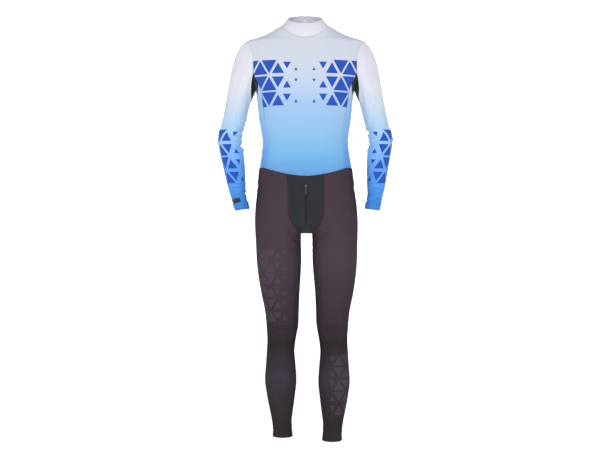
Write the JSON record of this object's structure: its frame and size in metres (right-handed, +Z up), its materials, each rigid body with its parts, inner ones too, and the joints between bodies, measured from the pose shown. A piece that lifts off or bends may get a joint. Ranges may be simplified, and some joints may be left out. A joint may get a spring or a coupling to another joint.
{
  "type": "ski race suit",
  "caption": "Stretch race suit in one piece: mock turtleneck, long sleeves, underarm gussets, close tights, fly panel with a short zip, centre-back zip; hollow, filled out as worn.",
  "frame": {"origin": "on the wearer's centre line at shoulder height, where the shoulders carry the suit", "axes": "+Z up along the wearer, -Y is the front, +X is the wearer's left"},
  "size_m": [0.5959, 0.2408, 1.4547],
  "materials": {
    "white_stretch": "smooth white stretch knit with a soft sheen",
    "faded_stretch": "smooth stretch knit, dyed from white at the shoulders to sky blue at the waist and wrists",
    "blue_stretch": "smooth sky blue stretch knit",
    "black_mesh": "open black mesh knit",
    "charcoal_stretch": "brushed charcoal stretch knit with a slight sheen",
    "black_knit": "matt bluish black knit",
    "dark_patch": "plain dark bonded patch",
    "black_zip": "black moulded coil",
    "white_zip": "white moulded coil",
    "dark_metal": "dark lacquered zinc",
    "light_metal": "satin nickel"
  },
  "bodies": {
    "suit": {"collar": "white_stretch", "front_body": "faded_stretch", "back_body_left": "faded_stretch", "back_body_right": "faded_stretch", "side_panel_left": "faded_stretch", "side_panel_right": "faded_stretch", "underarm_gusset_left": "black_mesh", "underarm_gusset_right": "black_mesh", "sleeve_left": "faded_stretch", "sleeve_right": "faded_stretch", "cuff_left": "blue_stretch", "cuff_right": "blue_stretch", "cuff_patch": "dark_patch", "fly_panel": "black_knit", "thigh_front_left": "charcoal_stretch", "thigh_front_right": "charcoal_stretch", "thigh_back_left": "charcoal_stretch", "thigh_back_right": "charcoal_stretch", "lower_leg_front_left": "charcoal_stretch", "lower_leg_front_right": "charcoal_stretch", "lower_leg_back_left": "charcoal_stretch", "lower_leg_back_right": "charcoal_stretch", "fly_zip_chain": "black_zip", "fly_zip_slider": "dark_metal", "back_zip_chain": "white_zip", "back_zip_slider": "light_metal"},
    "fly_tab": {"fly_zip_pull_tab": "dark_metal"},
    "back_tab": {"back_zip_pull_tab": "light_metal"}
  },
  "joints": [
    {"name": "fly_tab_swing", "type": "hinge", "parent": "suit", "child": "fly_tab", "pos_m": [0.00309, -0.10926, -0.49775], "axis": [-1, 0, 0], "range_deg": [0, 165]},
    {"name": "back_tab_swing", "type": "hinge", "parent": "suit", "child": "back_tab", "pos_m": [0, 0.07397, 0.08774], "axis": [1, 0, 0], "range_deg": [0, 165]}
  ]
}
